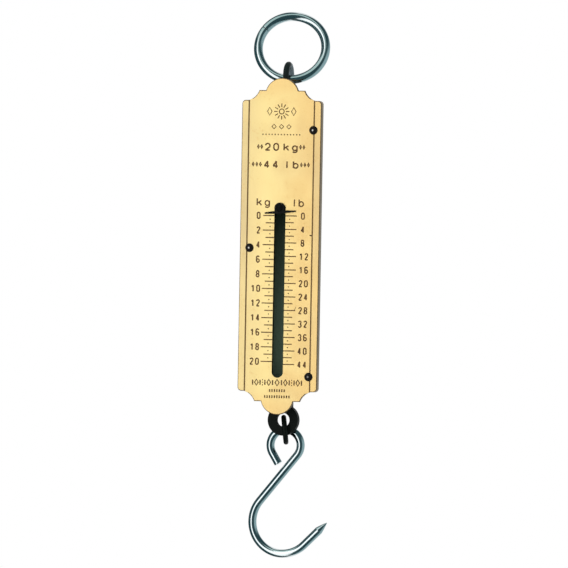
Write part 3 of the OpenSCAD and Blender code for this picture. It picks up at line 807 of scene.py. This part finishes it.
def makeFace(brassMaterial, fillerAndShadeMaterial):
    size = faceShape
    onlySelect(nodes["face_plate"])
    bpy.ops.object.duplicate()
    piece = named("engravedFace")
    bpy.ops.object.parent_clear(type="CLEAR_KEEP_TRANSFORM")
    paint(piece, brassMaterial, fillerAndShadeMaterial)
    bpy.ops.object.mode_set(mode="EDIT")
    bpy.ops.mesh.select_mode(type="VERT")
    bpy.ops.mesh.select_all(action="SELECT")
    bpy.ops.mesh.remove_doubles(threshold=weld)
    bpy.ops.mesh.dissolve_limited(angle_limit=math.radians(size["mergeAngle"]))
    bpy.ops.object.mode_set(mode="OBJECT")
    front = plateLow.y

    def deepest(face):
        return max(piece.data.vertices[v].co.y for v in face.vertices) - front

    besides = {}  # for each edge, the kinds of face that meet at it
    for face in piece.data.polygons:
        kind = "groove"
        if deepest(face) < size["front"] * mm:
            kind = "front"
        elif deepest(face) > size["wall"] * mm:
            kind = "wall"
        for key in face.edge_keys:
            besides.setdefault(key, set()).add(kind)

    def outer(edge):  # the outline's front edges, and not the slot's
        spot = sum((piece.data.vertices[v].co for v in edge.vertices), Vector()) / 2 - middle
        wide, high = size["slot"]
        inSlot = abs(spot.x) < wide * mm and abs(spot.z) < high * mm
        return besides[edge.key] == {"front", "wall"} and not inSlot

    bpy.ops.object.mode_set(mode="EDIT")
    selectParts(piece, "EDGE", outer)
    bpy.ops.mesh.bevel(offset=size["edgeBevel"] * mm, segments=2, affect="EDGES")
    bpy.ops.object.mode_set(mode="OBJECT")

    def groove(face):  # the CAD's marks and lines: floors, and walls no deeper than the lines, take the filler, which in the score lines is painted shade
        depth = deepest(face)
        inside = face.center.y - front > size["markFrom"] * mm
        litWall = face.normal.x < size["litNormal"] and depth > size["litFrom"] * mm
        return inside and depth < size["markTo"] * mm and not litWall

    for face in piece.data.polygons:
        face.material_index = 1 if groove(face) else 0
    for strokes in scaleFigures():
        bite(piece, strokes, "figure")
    for strokes in layered(wordsOf("head")):  # the capacity, in both units
        bite(piece, strokes, "bold")
    bite(piece, fineOrnament(), "fine")
    bite(piece, boldOrnament(), "figure")
    bite(piece, wear["nicks"], "figure")
    bite(piece, wear["scratches"], "scratch")
    smooth(piece, size["smooth"])
    for face in piece.data.polygons:
        if abs(face.normal.y) > size["flatNormal"]:
            face.use_smooth = False
    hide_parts("face_plate")
    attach(piece, "casing")
    return piece


photoView = {
    "azimuth": 16.5, "elevation": 0.5, "roll": 1.0,  # degrees; the azimuth is round the load line
    "frameWidth": 213.0, "lens": 1000.0, "sensor": 36.0, "clip": (0.05, 20),
    "aimRight": 1.965, "aimUp": -14.07,  # from the face's middle to the picture's middle
}


def makeCamera():
    view = photoView
    azimuth, elevation, roll = (math.radians(view[key]) for key in ("azimuth", "elevation", "roll"))
    back = Vector((math.sin(azimuth) * math.cos(elevation),
                   -math.cos(azimuth) * math.cos(elevation), math.sin(elevation)))
    right = Vector((math.cos(azimuth), math.sin(azimuth), 0))
    up = back.cross(right)
    aim = at(0, faceY, 0) + right * view["aimRight"] * mm + up * view["aimUp"] * mm
    data = bpy.data.cameras.new("photoCamera")
    data.lens, data.sensor_width = view["lens"], view["sensor"]
    camera = placed("photoCamera", data)
    distance = view["frameWidth"] * mm * view["lens"] / view["sensor"]
    rolledRight = right * math.cos(roll) + up * math.sin(roll)
    rolledUp = up * math.cos(roll) - right * math.sin(roll)
    camera.matrix_world = (Matrix.Translation(aim + back * distance)
                           @ Matrix((rolledRight, rolledUp, back)).transposed().to_4x4())
    data.clip_start, data.clip_end = view["clip"]
    bpy.context.scene.camera = camera


studio = {  # directions in degrees: 0 is in front of the face and 90 is to the right of it
    "panel": (-38, -9), "panelHeight": (-70, 45), "panelLevel": 1.62, "panelSoft": (4, 8),
    "panelFoot": 0.66, "panelDims": (-75, 5),  # its share of light at the foot, and where it dims
    "ceiling": (-95, 25), "ceilingHeight": (42, 72), "ceilingSoft": (10, 6),
    "ceilingTone": (196, 220, 216), "dark": (46, 74, 79), "grey": (160, 186, 190),
    "greyFrom": 62, "greySoft": 14, "greyBelow": (8, 40),
    "background": 166, "backgroundSoft": 20, "fill": 0.82,
    "key": {"at": (-300, -700, 500), "size": 0.5, "watts": 1.2},
    "floor": {"drop": 275, "size": 3.0, "tone": (236, 235, 232), "roughness": 0.8,
              "specular": 0.2},
}


def evenLight(level):
    return (level, level, level, 1)


def makeStudio():
    world = bpy.data.worlds.new("studio")
    bpy.context.scene.world = world
    world.use_nodes = True
    world.node_tree.nodes.clear()
    start = Signal(world.node_tree)
    split = start.node("SeparateXYZ", {}, {0: start.node("TexCoord", output="Generated")})
    x, y, z = split, split.other(1), split.other(2)
    azimuth = x.maths("ARCTAN2", x, -y) * math.degrees(1)
    height = z.maths("ARCSINE", z) * math.degrees(1)
    look, white = studio, evenLight(1)
    around, upright = look["panelSoft"]
    panel = azimuth.window(*look["panel"], around) * height.window(*look["panelHeight"], upright)
    dims = look["panelFoot"] + height.rise(*look["panelDims"]) * (1 - look["panelFoot"])
    grey = azimuth.rise(look["greyFrom"] - look["greySoft"], look["greyFrom"] + look["greySoft"])
    grey = grey * (1 - height.rise(*look["greyBelow"]))
    screens = grey.blend(colour(*look["dark"]), colour(*look["grey"]))
    around, upright = look["ceilingSoft"]
    ceiling = (azimuth.window(*look["ceiling"], around)
               * height.window(*look["ceilingHeight"], upright))
    screens = ceiling.blend(screens, colour(*look["ceilingTone"]))
    screens = (panel * dims).blend(screens, evenLight(look["panelLevel"]))
    behind = abs(azimuth).rise(look["background"] - look["backgroundSoft"], look["background"])
    mirrored = behind.blend(screens, white)  # metal shows the background and the screens
    rays = start.node("LightPath")
    mirror = rays.other("Is Glossy Ray") + rays.other("Is Transmission Ray")
    seen = rays.blend(mirror.blend(evenLight(look["fill"]), mirrored), white)
    light = start.node("Background", {}, {"Color": seen})
    start.node("OutputWorld", {}, {"Surface": light})


def makeKey():  # a soft lamp from the upper left, for shape and for the floor's shadow
    key = studio["key"]
    data = bpy.data.lights.new("softKey", "AREA")
    data.shape, data.size, data.energy = "DISK", key["size"], key["watts"]
    lamp = placed("softKey", data)
    place = at(*key["at"])
    aim = at(0, faceY, 0) - place
    facing = aim.to_track_quat("-Z", "Y").to_matrix().to_4x4()
    lamp.matrix_world = Matrix.Translation(place) @ facing
    lamp.visible_camera = False
    lamp.visible_glossy = False


def makeFloor():
    floor = studio["floor"]
    bpy.ops.object.select_all(action="DESELECT")
    bpy.ops.mesh.primitive_plane_add(size=floor["size"], location=at(0, 0, -floor["drop"]))
    piece = named("paleFloor")
    settle(piece)
    material, start = newMaterial("pale_floor")[:2]
    finishMaterial(start, {"Base Color": colour(*floor["tone"]), "Roughness": floor["roughness"],
                           "Specular IOR Level": floor["specular"]})
    paint(piece, material)
    piece.visible_glossy = False  # the plated wire shows the screens in its place


makeCamera()
makeStudio()
makeKey()
makeFloor()
bpy.context.scene.view_settings.view_transform = "Standard"

brassMaterial, fillerAndShadeMaterial = brassFace(), engravedPaint()
plate = platedWire()
black = blackSteel("black_steel", "casing")
nodeFinish = {
    "eye_bolt": rubbedEye(), "back_casing": black, "connecting_link": black,
    "draw_bar": barEnamel(),
    "pointer": blackSteel("pointer_black", "pointer"),
    "spring": turnedSteel("spring_wire", "spring"),
}
nodeFinish["pointer_rivet"] = nodeFinish["pointer"]
rivets = rivetBlack()
for name in ("face_rivet_top", "face_rivet_middle", "face_rivet_bottom"):
    nodeFinish[name] = rivets
oiled = turnedSteel("oiled_steel", "oiled")
for name in ("top_plug", "plug_pin", "bottom_guide", "guide_pin", "pointer_spacer"):
    nodeFinish[name] = oiled
nodeFinish["suspension_ring"] = nodeFinish["load_hook"] = plate
nodeFinish["face_plate"] = brassMaterial
for name, finish in nodeFinish.items():
    paint(nodes[name], finish)
print("materials ready")

face = makeFace(brassMaterial, fillerAndShadeMaterial)
print("face engraved:", len(face.data.polygons), "faces")
ring = makeRing(plate)
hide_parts("suspension_ring")
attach(ring, "ring")
hook = makeHook(plate)
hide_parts("load_hook")
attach(hook, "hook")
spring = makeSpring(nodeFinish["spring"])
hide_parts("spring")
print("ring, hook and spring made")
